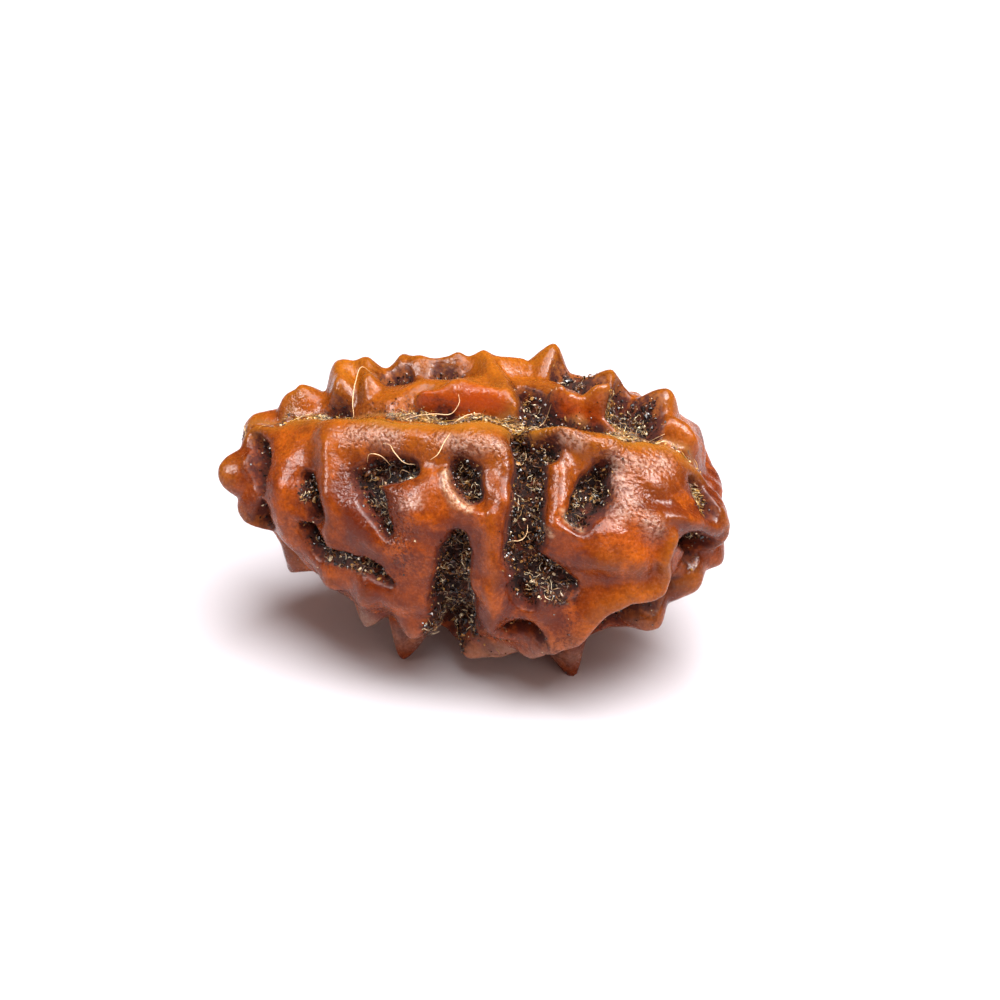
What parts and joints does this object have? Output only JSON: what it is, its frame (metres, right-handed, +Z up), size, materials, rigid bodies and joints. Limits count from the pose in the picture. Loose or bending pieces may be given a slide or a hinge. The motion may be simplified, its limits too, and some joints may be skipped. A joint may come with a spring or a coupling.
{
  "type": "rudraksha seed",
  "caption": "Dried rudraksha seed (bead nut): an egg-shaped brown stone, blunter at one end, with seams from end to end, deep fibre-filled pits, ridges and knobs. Lies on low knobs.",
  "frame": {"origin": "middle of the seed's outline seen from above, at the level of the surface that it rests on", "axes": "+X along the seed's length towards its blunt end, +Y away from the side that the picture shows, +Z up"},
  "size_m": [0.02, 0.012, 0.0124],
  "materials": {
    "seed_shell": "satin"
  },
  "bodies": {
    "root": {"seed": "seed_shell"}
  },
  "joints": []
}
